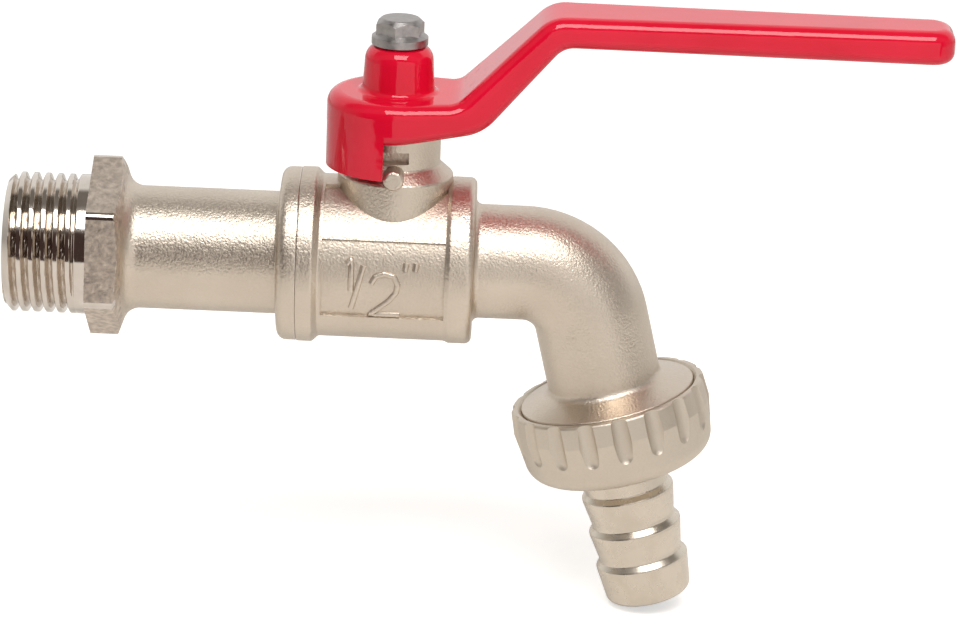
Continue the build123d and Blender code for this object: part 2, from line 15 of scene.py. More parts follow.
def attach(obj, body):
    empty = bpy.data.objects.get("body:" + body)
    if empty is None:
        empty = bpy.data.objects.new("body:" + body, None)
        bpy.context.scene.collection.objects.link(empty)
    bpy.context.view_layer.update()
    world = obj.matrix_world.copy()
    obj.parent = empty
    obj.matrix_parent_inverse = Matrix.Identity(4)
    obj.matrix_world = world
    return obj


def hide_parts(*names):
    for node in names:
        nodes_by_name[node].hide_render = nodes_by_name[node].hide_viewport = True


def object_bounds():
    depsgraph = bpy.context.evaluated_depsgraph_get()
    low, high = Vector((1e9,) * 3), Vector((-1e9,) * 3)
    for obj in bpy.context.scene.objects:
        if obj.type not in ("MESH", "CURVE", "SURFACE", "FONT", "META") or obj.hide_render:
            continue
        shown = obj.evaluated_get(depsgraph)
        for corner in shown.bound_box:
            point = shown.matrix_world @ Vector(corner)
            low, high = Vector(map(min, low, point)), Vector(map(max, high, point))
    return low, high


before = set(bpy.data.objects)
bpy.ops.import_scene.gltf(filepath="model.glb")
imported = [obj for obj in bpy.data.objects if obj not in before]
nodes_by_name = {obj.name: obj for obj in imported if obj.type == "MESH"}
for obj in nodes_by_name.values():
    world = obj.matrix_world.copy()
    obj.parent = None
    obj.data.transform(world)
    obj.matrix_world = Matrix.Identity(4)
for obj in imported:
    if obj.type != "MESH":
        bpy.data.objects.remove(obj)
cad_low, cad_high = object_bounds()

MM = 0.001

# %% [markdown]
# ## The camera
# The photograph looks at the front of the tap from a little above, with a long lens. A camera can be
# placed by eye, but here the direction, the roll and the distance are given for the stem axis at the
# height of the bore, with the picture point where it falls. The camera is then turned, not shifted, so
# that the optical axis goes through the middle of the picture.

# %% Sizes of the view
IMAGE_WIDTH = 956
IMAGE_HEIGHT = 633
SENSOR_WIDTH = 36.0
AIM = Vector((45.05 * MM, 0.0, 0.0))
AIM_PIXEL = (392.46, 257.03)
ELEVATION = math.radians(17.26)
AZIMUTH = math.radians(1.81)
ROLL = math.radians(1.91)
DISTANCE = 682.8
PIXELS_A_MM = 6.671
FOCAL_PIXELS = PIXELS_A_MM * DISTANCE
print("view: a focal length of", round(FOCAL_PIXELS), "pixels")


# %% Place the camera
def look_axes(elevation, azimuth, roll):
    """Right, up and back of a camera that looks at the aim point, with the picture rolled."""
    level = math.cos(elevation)
    back = Vector((math.sin(azimuth) * level, -math.cos(azimuth) * level, math.sin(elevation)))
    right = Vector((math.cos(azimuth), math.sin(azimuth), 0.0))
    up = back.cross(right)
    rolled_right = right * math.cos(roll) + up * math.sin(roll)
    rolled_up = up * math.cos(roll) - right * math.sin(roll)
    return rolled_right, rolled_up, back


def camera_matrix():
    """The camera's place and turn, with the aim point on its pixel."""
    right, up, back = look_axes(ELEVATION, AZIMUTH, ROLL)
    look = Matrix((right, up, back))
    across = (AIM_PIXEL[0] - IMAGE_WIDTH / 2) / FOCAL_PIXELS
    above = (IMAGE_HEIGHT / 2 - AIM_PIXEL[1]) / FOCAL_PIXELS
    z_axis = -Vector((across, above, -1.0)).normalized()
    x_axis = Vector((1.0, 0.0, 0.0))
    x_axis = (x_axis - z_axis * x_axis.dot(z_axis)).normalized()
    y_axis = z_axis.cross(x_axis)
    turned = Matrix((x_axis, y_axis, z_axis)).transposed() @ look
    matrix = turned.transposed().to_4x4()
    matrix.translation = AIM + back * (DISTANCE * MM)
    return matrix


def add_object(name, data):
    """A new object in the scene."""
    thing = bpy.data.objects.new(name, data)
    bpy.context.scene.collection.objects.link(thing)
    return thing


camera = add_object("photo_camera", bpy.data.cameras.new("photo_camera"))
camera.data.sensor_width = SENSOR_WIDTH
camera.data.lens = FOCAL_PIXELS / IMAGE_WIDTH * SENSOR_WIDTH
camera.data.clip_start = 0.01
camera.data.clip_end = 50.0
camera.matrix_world = camera_matrix()
bpy.context.scene.camera = camera
print("camera: lens", round(camera.data.lens, 1), "mm, at", [round(v, 3) for v in camera.location])

# %% [markdown]
# ## Tools for the finishes
# Every finish is a Principled shader with a few procedural nodes in front of it. The nodes read object
# coordinates, which are metres here, so a grain of a quarter of a millimetre needs a scale of about
# 4000. Small helpers keep the recipes short enough to read side by side: some make a pattern, and some
# turn a pattern into a colour, a roughness or a bump.

# %% Patterns
def new_finish(name, **sockets):
    """A Principled material with the given constant sockets, and its node tree."""
    material = bpy.data.materials.new(name)
    material.use_nodes = True
    tree = material.node_tree
    shader = tree.nodes["Principled BSDF"]
    for socket, value in sockets.items():
        shader.inputs[socket.replace("_", " ")].default_value = value
    return material, tree, shader


def place_node(tree):
    """Object coordinates, in metres."""
    return tree.nodes.new("ShaderNodeTexCoord").outputs["Object"]


def noise(tree, place, scale, detail=2.0, rough=0.5):
    """Cloudy noise with features of about one over the scale, in metres."""
    node = tree.nodes.new("ShaderNodeTexNoise")
    node.inputs["Scale"].default_value = scale
    node.inputs["Detail"].default_value = detail
    node.inputs["Roughness"].default_value = rough
    tree.links.new(place, node.inputs["Vector"])
    return node.outputs["Fac"]


# %% Colour, roughness and bump from a pattern
def ramp(tree, factor, *stops):
    """A colour ramp from (position, colour) stops."""
    node = tree.nodes.new("ShaderNodeValToRGB")
    elements = node.color_ramp.elements
    while len(elements) < len(stops):
        elements.new(0.5)
    for element, (position, colour) in zip(elements, stops):
        element.position = position
        element.color = (*colour, 1.0)
    tree.links.new(factor, node.inputs["Fac"])
    return node.outputs["Color"]


def spread(tree, factor, low, high, first=0.3, last=0.7):
    """A factor stretched to the range from low to high."""
    node = tree.nodes.new("ShaderNodeMapRange")
    node.inputs["From Min"].default_value = first
    node.inputs["From Max"].default_value = last
    node.inputs["To Min"].default_value = low
    node.inputs["To Max"].default_value = high
    tree.links.new(factor, node.inputs["Value"])
    return node.outputs["Result"]


def bump(tree, height, depth, strength=1.0, normal=None):
    """A bump from a height of 0 to 1, with a depth in metres. It can lie on an earlier bump."""
    node = tree.nodes.new("ShaderNodeBump")
    node.inputs["Distance"].default_value = depth
    node.inputs["Strength"].default_value = strength
    tree.links.new(height, node.inputs["Height"])
    if normal is not None:
        tree.links.new(normal, node.inputs["Normal"])
    return node.outputs["Normal"]


# %% [markdown]
# ## Forged nickel
# The body and the neck are hot forged brass, blasted with fine grit and then plated with nickel. The
# plate follows every grit mark, so the metal is satin and sparkles where the light changes from bright
# to dark. A bump a third of a millimetre wide gives that sparkle in every light, where a painted speckle
# would only look right in one. A slow noise adds the faint stains of the plating bath. The sunk panels
# keep a rougher skin than the ribs beside them, so the roughness also looks at the distance from the bore.

# %% Find the sunk panels
PANEL_R = 11.75
PANEL_BAND = 0.15
PANEL_SPAN = (33.5, 53.5)


def math_node(tree, operation, *values):
    """A math node whose inputs are sockets or numbers."""
    node = tree.nodes.new("ShaderNodeMath")
    node.operation = operation
    for index, value in enumerate(values):
        if isinstance(value, float):
            node.inputs[index].default_value = value
        else:
            tree.links.new(value, node.inputs[index])
    return node.outputs[0]


def on_panels(tree, place, amount):
    """The amount on the floors of the sunk panels, told by their distance from the bore, else 0."""
    split = tree.nodes.new("ShaderNodeSeparateXYZ")
    tree.links.new(place, split.inputs[0])
    along, aside, above = split.outputs
    height = math_node(tree, "MULTIPLY", above, above)
    apart = math_node(tree, "SQRT", math_node(tree, "MULTIPLY_ADD", aside, aside, height))
    near = math_node(tree, "COMPARE", apart, PANEL_R * MM, PANEL_BAND * MM)
    first, last = PANEL_SPAN
    within = math_node(tree, "COMPARE", along, (first + last) / 2 * MM, (last - first) / 2 * MM)
    return math_node(tree, "MULTIPLY", math_node(tree, "MULTIPLY", near, within), amount)


print("panels:", PANEL_SPAN[1] - PANEL_SPAN[0], "mm long,", PANEL_R, "mm from the bore's axis")


# %% Forged nickel finish
def forged_nickel(name, pale, stain, grain, depth, rough, stains=70.0, panel_rough=0.0):
    """Blasted and plated metal: grit over wider lumps in the bump, slow stains in the colour."""
    material, tree, shader = new_finish(name, Metallic=1.0)
    place = place_node(tree)
    grit = noise(tree, place, grain, 1.0)
    tone = ramp(tree, noise(tree, place, stains, 3.0), (0.3, stain), (0.7, pale))
    tree.links.new(tone, shader.inputs["Base Color"])
    satin = spread(tree, grit, *rough)
    if panel_rough:
        satin = math_node(tree, "ADD", satin, on_panels(tree, place, panel_rough))
    tree.links.new(satin, shader.inputs["Roughness"])
    lumps = bump(tree, noise(tree, place, grain / 4, 2.0), depth * 0.6)
    tree.links.new(bump(tree, grit, depth, 1.0, lumps), shader.inputs["Normal"])
    return material


nickel_body = forged_nickel(
    "nickel_forged", pale=(0.66, 0.58, 0.485), stain=(0.60, 0.52, 0.43),
    grain=2900.0, depth=0.00006, rough=(0.34, 0.47), panel_rough=0.06,
)
nickel_hexagon = forged_nickel(
    "nickel_hexagon", pale=(0.74, 0.64, 0.54), stain=(0.46, 0.39, 0.33),
    grain=1700.0, depth=0.00005, rough=(0.4, 0.55), stains=1100.0,
)
nickel_nut = forged_nickel(
    "nickel_nut", pale=(0.64, 0.57, 0.475), stain=(0.59, 0.52, 0.435),
    grain=3000.0, depth=0.00002, rough=(0.42, 0.53),
)
print("finish:", nickel_body.name, len(nickel_body.node_tree.nodes), "nodes")

# %% [markdown]
# ## Turned nickel
# The threads, the seam faces and the hose tail come straight from the lathe, so the plate on them is
# bright, and on the threads nearly a mirror. Only fine rings from the tool are left. The rings are a
# noise that runs along the axis of the piece and nowhere else, so one recipe serves pieces that lean,
# such as the tail.

# %% Turned nickel finish
OUTLET_TILT = math.radians(13.9)
ALONG_INLET = Vector((1.0, 0.0, 0.0))
DOWN_OUTLET = Vector((math.sin(OUTLET_TILT), 0.0, -math.cos(OUTLET_TILT)))


def lathe_lines(tree, place, axis, scale):
    """Uneven fine rings round an axis, as a turning tool leaves them."""
    along = tree.nodes.new("ShaderNodeVectorMath")
    along.operation = "DOT_PRODUCT"
    along.inputs[1].default_value = axis
    tree.links.new(place, along.inputs[0])
    rings = tree.nodes.new("ShaderNodeTexNoise")
    rings.noise_dimensions = "1D"
    rings.inputs["Scale"].default_value = scale
    rings.inputs["Detail"].default_value = 2.0
    tree.links.new(along.outputs["Value"], rings.inputs["W"])
    return rings.outputs["Fac"]


def turned_nickel(name, axis, pale, dark, rough, ring_depth):
    """Bright turned metal with uneven fine rings round the axis."""
    material, tree, shader = new_finish(name, Metallic=1.0)
    place = place_node(tree)
    rings = lathe_lines(tree, place, axis, 9000.0)
    haze = noise(tree, place, 260.0, 3.0)
    tree.links.new(ramp(tree, haze, (0.35, dark), (0.6, pale)), shader.inputs["Base Color"])
    tree.links.new(spread(tree, haze, *rough), shader.inputs["Roughness"])
    tree.links.new(bump(tree, rings, ring_depth), shader.inputs["Normal"])
    return material


nickel_thread = turned_nickel(
    "nickel_thread", ALONG_INLET, pale=(0.67, 0.605, 0.54), dark=(0.60, 0.54, 0.475),
    rough=(0.06, 0.14), ring_depth=0.0000015,
)
nickel_tail = turned_nickel(
    "nickel_turned", DOWN_OUTLET, pale=(0.66, 0.59, 0.495), dark=(0.60, 0.53, 0.44),
    rough=(0.22, 0.32), ring_depth=0.000003,
)
print("finish:", nickel_thread.name, nickel_tail.name)

# %% [markdown]
# ## Red paint
# The lever is an aluminium casting that was dipped or sprayed with a thick glossy paint. Such paint
# shows a soft orange peel, which breaks the highlights. A glossy shader alone could give the shine, but
# a clear coat over a matt red gives harder white lines of light, and the slow noise under it keeps the
# red from being one flat colour.

# %% Red paint finish
def red_paint(name):
    """Thick glossy red paint on a casting, with orange peel."""
    material, tree, shader = new_finish(
        name, Roughness=0.5, Specular_IOR_Level=0.0, Coat_Weight=1.0, Coat_Roughness=0.05, Coat_IOR=1.45
    )
    place = place_node(tree)
    body_tone = noise(tree, place, 120.0, 3.0)
    peel = noise(tree, place, 520.0, 1.0)
    dust = noise(tree, place, 2600.0, 2.0)
    tone = ramp(tree, body_tone, (0.3, (0.66, 0.003, 0.024)), (0.7, (0.73, 0.005, 0.032)))
    tree.links.new(tone, shader.inputs["Base Color"])
    skin = bump(tree, peel, 0.00003, 0.8)
    tree.links.new(bump(tree, dust, 0.000004, 0.6, skin), shader.inputs["Normal"])
    tree.links.new(bump(tree, peel, 0.00002, 0.8), shader.inputs["Coat Normal"])
    return material


paint = red_paint("red_paint")
print("finish:", paint.name)

# %% [markdown]
# ## Screw, seals and inner pieces
# The screw is steel with dull zinc on it, which is mottled. The seats and the washer are white PTFE, the
# rings and the gasket black rubber, the ball chromed and the stem bare brass. Plain colours would do for
# pieces that are hidden when the tap is whole. They still get their own finish, because a library part
# may be taken apart, and one mottled recipe serves them all.

# %% Screw and inner finishes
def mottled(name, metallic, pale, dark, rough, scale, depth):
    """A plain finish with a mottle in the colour, the roughness and the bump."""
    material, tree, shader = new_finish(name, Metallic=metallic)
    place = place_node(tree)
    cloud = noise(tree, place, scale, 4.0, 0.6)
    fine = noise(tree, place, scale * 6.0, 2.0)
    tree.links.new(ramp(tree, cloud, (0.32, dark), (0.68, pale)), shader.inputs["Base Color"])
    tree.links.new(spread(tree, cloud, *rough), shader.inputs["Roughness"])
    tree.links.new(bump(tree, fine, depth), shader.inputs["Normal"])
    return material


zinc = mottled(
    "zinc_steel", 1.0, pale=(0.47, 0.445, 0.43), dark=(0.29, 0.272, 0.262),
    rough=(0.32, 0.52), scale=700.0, depth=0.00001,
)
chrome = mottled(
    "chrome_ball", 1.0, pale=(0.80, 0.80, 0.80), dark=(0.74, 0.74, 0.75),
    rough=(0.05, 0.11), scale=300.0, depth=0.000001,
)
brass = mottled(
    "stem_brass", 1.0, pale=(0.80, 0.61, 0.28), dark=(0.68, 0.50, 0.21),
    rough=(0.2, 0.34), scale=500.0, depth=0.000003,
)
ptfe = mottled(
    "ptfe", 0.0, pale=(0.86, 0.86, 0.84), dark=(0.80, 0.80, 0.78),
    rough=(0.38, 0.5), scale=800.0, depth=0.000004,
)
rubber = mottled(
    "black_rubber", 0.0, pale=(0.030, 0.030, 0.030), dark=(0.016, 0.016, 0.016),
    rough=(0.5, 0.7), scale=900.0, depth=0.000008,
)
print("finish:", [finish.name for finish in (zinc, chrome, brass, ptfe, rubber)])

# %% [markdown]
# ## Dressing the solids
# On the real tap each piece has one finish, given before it was put together. The finish could be set
# piece by piece in the cells above, but one table shows the whole tap at a glance, and it is easy to see
# that no piece was left bare.

# %% Give the CAD nodes their finishes
FINISH_OF_NODE = {
    "valve_body": nickel_body,
    "inlet_connector": nickel_body,
    "inlet_seat": ptfe,
    "outlet_seat": ptfe,
    "ball": chrome,
    "stem": brass,
    "stem_thrust_washer": ptfe,
    "stem_lower_o_ring": rubber,
    "stem_upper_o_ring": rubber,
    "lever_handle": paint,
    "handle_screw": zinc,
    "union_nut": nickel_nut,
    "hose_tail": nickel_tail,
    "tail_gasket": rubber,
}
for node_name, finish in FINISH_OF_NODE.items():
    node_object = nodes_by_name[node_name]
    node_object.data.materials.clear()
    node_object.data.materials.append(finish)
print("dressed:", len(FINISH_OF_NODE), "CAD nodes")

# %% [markdown]
# ## The screw thread
# The inlet connector starts with a half inch pipe thread. The CAD solid shows it as a plain cylinder,
# because a helix makes collision slow and gains nothing there. A screw modifier could sweep a tooth, but
# its ends are hard to close. Here the groove is cut by lowering the radius where the helix passes: the
# phase is the station over the pitch, less the angle as a share of a turn. The groove is rounded at its
# root and at both crests, which keeps its reflections smooth, and it runs out into a plain land.

# %% Rings of the thread, in millimetres
THREAD_R = 20.955 / 2
THREAD_LENGTH = 12.6
THREAD_PITCH = 25.4 / 14
THREAD_DEPTH = 1.16
CREST_SHARE = 0.3
THREAD_CHAMFER = 1.1
THREAD_LAND = 1.7
THREAD_RUNOUT = 0.9
RINGS_A_PITCH = 20


def groove(station, angle):
    """The depth of the thread groove at a station and an angle."""
    phase = (station / THREAD_PITCH - angle / (2 * math.pi)) % 1.0
    from_root = abs(phase - 0.5) * 2
    share = min(1.0, max(0.0, 1.0 - from_root / (1.0 - CREST_SHARE)))
    eased = share * share * (3 - 2 * share)
    fade = min(1.0, max(0.0, (-station - THREAD_LAND) / THREAD_RUNOUT))
    return THREAD_DEPTH * eased * fade


def thread_ring(station):
    """The radius round the thread at a station, inside the chamfer at its start."""
    cone = THREAD_R - THREAD_CHAMFER + (station + THREAD_LENGTH)
    return lambda angle: min(cone, THREAD_R - groove(station, angle))


thread_steps = int(THREAD_LENGTH / THREAD_PITCH * RINGS_A_PITCH)
thread_stations = [-THREAD_LENGTH + THREAD_LENGTH * step / thread_steps for step in range(thread_steps + 1)]
thread_rings = [(station, thread_ring(station)) for station in thread_stations]
print("thread:", round(THREAD_LENGTH / THREAD_PITCH, 1), "turns in", len(thread_rings), "rings")

# %% [markdown]
# ## The neck and the collar
# Behind the hexagon the connector narrows to a forged neck and ends in a collar and a spigot, which is
# screwed into the body. All of it is round, so a profile of stations and radii is enough. A bevel
# modifier could soften the edges, but its one width would have to be weighted edge by edge, so here each
# corner of the profile has its own radius.

# %% Round the corners of a profile
def rounded_profile(*corners, steps=6):
    """Points along a line of corners (station, radius) or (station, radius, corner round)."""
    points = []
    for index, corner in enumerate(corners):
        here = Vector(corner[:2])
        size = corner[2] if len(corner) > 2 else 0.0
        if size == 0.0 or index in (0, len(corners) - 1):
            points.append(here)
            continue
        to_last = (Vector(corners[index - 1][:2]) - here).normalized()
        to_next = (Vector(corners[index + 1][:2]) - here).normalized()
        half = to_last.angle(to_next) / 2
        run = size / math.tan(half)
        centre = here + (to_last + to_next).normalized() * (size / math.sin(half))
        first = here + to_last * run - centre
        last = here + to_next * run - centre
        turn = first.angle_signed(last)
        for step in range(steps + 1):
            angle = -turn * step / steps
            spun = Matrix.Rotation(angle, 2) @ first
            points.append(centre + spun)
    return [(point.x, point.y) for point in points]


# %% Profile of the neck and the collar, in millimetres
HEX_WIDTH = 24.0
HEX_LENGTH = 4.0
EDGE_ROUND = 0.5
NECK_R = 9.2
NECK_FLARE = 2.4
FLARE_ROUND = 2.6
NECK_END = 28.2
COLLAR_R = 13.0
COLLAR_ROUND = 1.4
SEAM = 31.2
SEAM_ROUND = 0.15
SPIGOT_R = 10.0
SPIGOT_END = 36.5
shank = rounded_profile(
    (0.0, THREAD_R),
    (HEX_LENGTH / 2, THREAD_R),
    (HEX_LENGTH, HEX_WIDTH / 2, EDGE_ROUND),
    (HEX_LENGTH + NECK_FLARE, NECK_R, FLARE_ROUND),
    (NECK_END, NECK_R, EDGE_ROUND),
    (NECK_END, COLLAR_R, COLLAR_ROUND),
    (SEAM, COLLAR_R, SEAM_ROUND),
    (SEAM, SPIGOT_R),
    (SPIGOT_END, SPIGOT_R),
)
print("neck and collar:", len(shank), "points in the profile")

# %% [markdown]
# ## The hexagon
# A spanner holds the connector by this hexagon. Its faces are pitted and its six edges are rubbed bright,
# so the edges need a real rounding that catches the light. A six-sided cylinder would need a bevel and
# would not join the thread's rings. A radius that changes with the angle does both: it is the flat's
# distance, or that of the small arc near a corner, and a turned rim takes the corners off at the sides.

# %% Radius of the hexagon, in millimetres
SIXTH = math.pi / 3
HEX_CORNER = math.radians(90.0 - 5.0)
HEX_ROUND = 1.2
HEX_BEVEL = 0.4
HEX_SHOULDER = 1.2
SHOULDER_END = HEX_LENGTH + HEX_SHOULDER
RIM_START = 0.1
RIM_CLEARANCE = 0.5
HEX_EDGE_CENTRE = (HEX_WIDTH / 2 - HEX_ROUND) / math.cos(SIXTH / 2)
HEX_EDGE_R = HEX_EDGE_CENTRE + HEX_ROUND
arc_end_out = HEX_EDGE_CENTRE + HEX_ROUND * math.cos(SIXTH / 2)
arc_end_aside = HEX_ROUND * math.sin(SIXTH / 2)
HEX_EDGE_SPAN = math.atan2(arc_end_aside, arc_end_out)
hex_rim = rounded_profile(
    (0.0, HEX_EDGE_R + RIM_START),
    (HEX_BEVEL, HEX_EDGE_R + RIM_CLEARANCE),
    (HEX_LENGTH, HEX_EDGE_R + RIM_CLEARANCE, EDGE_ROUND),
    (SHOULDER_END, HEX_WIDTH / 2 - HEX_SHOULDER),
)


def off_corner(angle):
    """How far an angle is from the nearest corner of the hexagon."""
    return abs((angle - HEX_CORNER + SIXTH / 2) % SIXTH - SIXTH / 2)


def hexagon(angle):
    """The distance to the hexagon at an angle: its flat, or its rounded edge near a corner."""
    from_corner = off_corner(angle)
    if from_corner > HEX_EDGE_SPAN:
        return HEX_WIDTH / 2 / math.cos(SIXTH / 2 - from_corner)
    aside = HEX_EDGE_CENTRE * math.sin(from_corner)
    return HEX_EDGE_CENTRE * math.cos(from_corner) + math.sqrt(HEX_ROUND**2 - aside**2)


print("hexagon:", HEX_WIDTH, "mm over the flats,", round(2 * HEX_EDGE_R, 2), "mm over the edges")


# %% Rings of the hexagon
def read_profile(profile, station):
    """The radius of a profile at a station, between its points."""
    for (x0, r0), (x1, r1) in zip(profile, profile[1:]):
        if x0 <= station <= x1 and x1 > x0:
            return r0 + (r1 - r0) * (station - x0) / (x1 - x0)
    return profile[-1][1]


def hex_ring(station):
    """The radius round the hexagon at a station: the flats, inside the rim and outside the shank."""
    limit = read_profile(hex_rim, station)
    inner = read_profile(shank, station)
    return lambda angle: max(inner, min(hexagon(angle), limit))


bevel_stations = [0.0, 0.06, 0.12] + [tenth / 10 for tenth in range(2, 9)]
flat_stations = [1.2, 2.0, 2.8, 3.4]
shoulder_stations = [tenth / 10 for tenth in range(36, 52)] + [SHOULDER_END - 0.01]
hex_stations = bevel_stations + flat_stations + shoulder_stations
hex_rings = [(station, hex_ring(station)) for station in hex_stations]
print("hexagon:", len(hex_rings), "rings, closest at the bevel and the shoulder")

# %% [markdown]
# ## The threaded inlet
# The connector is one piece of metal, so thread, hexagon, neck and bore become one closed mesh. Joining
# four meshes with a boolean could leave slivers at the seams. Because all of them are rings round the same
# axis, a skin from each ring to the next does it in one go, and the last ring closes on the first. The
# rings share one list of angles, close together at the hexagon's corners.

# %% Skin a list of rings
def plain_ring(radius):
    """A round ring."""
    return lambda angle: radius


def ring_mesh(name, rings, angles):
    """A closed mesh from rings. A ring is (station, radius as a function of the angle)."""
    mesh = bpy.data.meshes.new(name)
    build = bmesh.new()
    loops = []
    for station, radius in rings:
        loop = []
        for angle in angles:
            across = radius(angle) * math.cos(angle)
            above = radius(angle) * math.sin(angle)
            loop.append(build.verts.new((station * MM, across * MM, above * MM)))
        loops.append(loop)
    for index, loop in enumerate(loops):
        after = loops[(index + 1) % len(loops)]
        for step in range(len(angles)):
            beside = (step + 1) % len(angles)
            build.faces.new((loop[step], loop[beside], after[beside], after[step]))
    bmesh.ops.recalc_face_normals(build, faces=build.faces)
    build.to_mesh(mesh)
    build.free()
    return mesh


# %% Build the threaded inlet, in millimetres and degrees
BORE_R = 6.5
BORE_MOUTH = 0.6
PORT_R = 4.75
EDGE_TURN = 3.2
CORNER_TURNS = [-EDGE_TURN, -2.5, -1.9, -1.3, -0.65, 0.0, 0.65, 1.3, 1.9, 2.5]
FLAT_STEPS = 26
flat_turns = [EDGE_TURN + (60.0 - 2 * EDGE_TURN) * step / FLAT_STEPS for step in range(FLAT_STEPS)]
side_turns = [math.radians(turn) for turn in CORNER_TURNS + flat_turns]
spokes = [HEX_CORNER + SIXTH * side + turn for side in range(6) for turn in side_turns]
inlet_rings = [(-THREAD_LENGTH, plain_ring(BORE_R + BORE_MOUTH)), *thread_rings, *hex_rings]
inlet_rings += [(x, plain_ring(r)) for x, r in shank if x > SHOULDER_END]
inlet_rings += [
    (SPIGOT_END, plain_ring(PORT_R)),
    (NECK_END, plain_ring(BORE_R)),
    (-THREAD_LENGTH + BORE_MOUTH, plain_ring(BORE_R)),
]
inlet_mesh = ring_mesh("threaded_inlet", inlet_rings, spokes)
print("threaded inlet:", len(inlet_rings), "rings,", len(inlet_mesh.polygons), "faces")

# %% [markdown]
# ## The inlet's finishes
# Three finishes meet on this piece: the lathe left the thread and the seam bright, the hexagon is pitted
# with bright edges, and the neck and the bore are satin. Separate objects could carry them, but the real
# piece is one, so each face gets its finish by where it lies.

# %% Soft shading and new pieces
def soften(mesh, sharp_degrees):
    """Smooth shading, with a crease wherever two faces meet at more than the given angle."""
    build = bmesh.new()
    build.from_mesh(mesh)
    limit = math.radians(sharp_degrees)
    for edge in build.edges:
        edge.smooth = len(edge.link_faces) == 2 and edge.calc_face_angle() < limit
    for face in build.faces:
        face.smooth = True
    build.to_mesh(mesh)
    build.free()


def new_piece(name, mesh, body, slot, *finishes):
    """An object for a mesh, with its finishes, riding on a body."""
    piece = add_object(name, mesh)
    mesh.materials.clear()
    for finish in finishes:
        mesh.materials.append(finish)
    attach(piece, body)
    return piece


# %% Finish the threaded inlet
SHARP_DEGREES = 28.0
SEAM_BAND = 0.4
OUTSIDE_R = BORE_R + 0.5
HEX_FACE = -0.001
SATIN, BRIGHT, PITTED = range(3)
soften(inlet_mesh, SHARP_DEGREES)
inlet_finishes = (nickel_body, nickel_thread, nickel_hexagon)
threaded_inlet = new_piece("threaded_inlet", inlet_mesh, "valve_body", "nickel_forged", *inlet_finishes)
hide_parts("inlet_connector")
for face in inlet_mesh.polygons:
    middle = face.center / MM
    reach = middle.yz.length
    on_edge = off_corner(math.atan2(middle.z, middle.y)) < HEX_EDGE_SPAN
    on_hexagon = HEX_FACE < middle.x < SHOULDER_END and reach > OUTSIDE_R
    rubbed = on_hexagon and on_edge and reach > HEX_EDGE_CENTRE
    turned = middle.x > SEAM - SEAM_BAND or middle.x < HEX_FACE and reach > OUTSIDE_R
    face.material_index = BRIGHT if rubbed or turned else PITTED if on_hexagon else SATIN
bright_faces = sum(face.material_index == BRIGHT for face in inlet_mesh.polygons)
print("threaded inlet:", bright_faces, "of", len(inlet_mesh.polygons), "faces are bright")

# %% [markdown]
# ## The size figure
# The front panel of the forging carries the pipe size in relief. It could be a text object, but a die
# maker cuts such figures as rounded strokes, so each stroke here is a short curve with a round section,
# a little more than half sunk in the panel. The flat strokes are wrapped onto the panel, which is a part
# of a cylinder.

# %% Strokes of the size figure, in millimetres
STEM_X = 45.1
STROKE_R = 0.48
STROKE_SINK = 0.12
STROKE_STEPS = 6
FIGURE_STROKES = {
    "figure_one": [(-6.4, 2.2), (-5.7, 3.0), (-5.7, -1.9)],
    "figure_slash": [(-3.9, 2.1), (-5.6, -4.9)],
    "figure_two": [
        (-2.7, -0.6), (-2.1, 0.5), (-0.8, 1.0), (0.6, 0.6), (1.2, -0.6), (1.0, -1.9), (-0.1, -3.4),
        (-1.6, -4.8), (-2.8, -6.0), (1.5, -6.0),
    ],
    "inch_mark_left": [(2.4, 2.7), (2.2, 1.5)],
    "inch_mark_right": [(3.9, 2.7), (3.7, 1.5)],
}
print("size figure:", sum(len(points) for points in FIGURE_STROKES.values()), "points")


# %% Build the size figure
def on_panel(across, above):
    """A point of the flat figure, from the stem and the front line, wrapped onto the front panel."""
    angle = above / PANEL_R
    reach = PANEL_R - STROKE_SINK
    return Vector((STEM_X + across, -reach * math.cos(angle), reach * math.sin(angle))) * MM


def close_points(points):
    """The points of a stroke with more between them, so that it can bend round the panel."""
    close = []
    for (x0, y0), (x1, y1) in zip(points, points[1:]):
        for step in range(STROKE_STEPS):
            close.append((x0 + (x1 - x0) * step / STROKE_STEPS, y0 + (y1 - y0) * step / STROKE_STEPS))
    return [*close, points[-1]]


def stroke_piece(name, points):
    """One raised stroke of the figure as a mesh."""
    curve = bpy.data.curves.new(name, "CURVE")
    curve.dimensions = "3D"
    curve.bevel_depth = STROKE_R * MM
    curve.bevel_resolution = 4
    curve.use_fill_caps = True
    flat_points = close_points(points)
    line = curve.splines.new("POLY")
    line.points.add(len(flat_points) - 1)
    for point, flat in zip(line.points, flat_points):
        point.co = (*on_panel(*flat), 1.0)
    holder = bpy.data.objects.new(name + "_curve", curve)
    mesh = bpy.data.meshes.new_from_object(holder)
    bpy.data.objects.remove(holder)
    mesh.name = name
    for face in mesh.polygons:
        face.use_smooth = True
    return new_piece(name, mesh, "valve_body", "nickel_forged", nickel_body)


strokes = [stroke_piece(name, points) for name, points in FIGURE_STROKES.items()]
print("size figure:", len(strokes), "strokes")

# %% [markdown]
# ## The floor
# The photograph is a cut-out on white with one faint shadow under the tail. A plain white floor could be
# lit until it is white, but then it would light the metal too much. Here the paper is a little grey, and
# the camera sees it lifted to white with the shadow left in. Mirror and glass rays see it lifted a little.
# The sheet ends a hand's span in front of the tap, because the front flats mirror a dark room and not
# paper.

# %% Floor
FLOOR_LEVEL = cad_low.z - 0.0004
FLOOR_FRONT = -0.23
FLOOR_BACK = 4.0
FLOOR_SIDE = 3.0
LIFT_TO_CAMERA = 0.56
LIFT_TO_METAL = 0.14


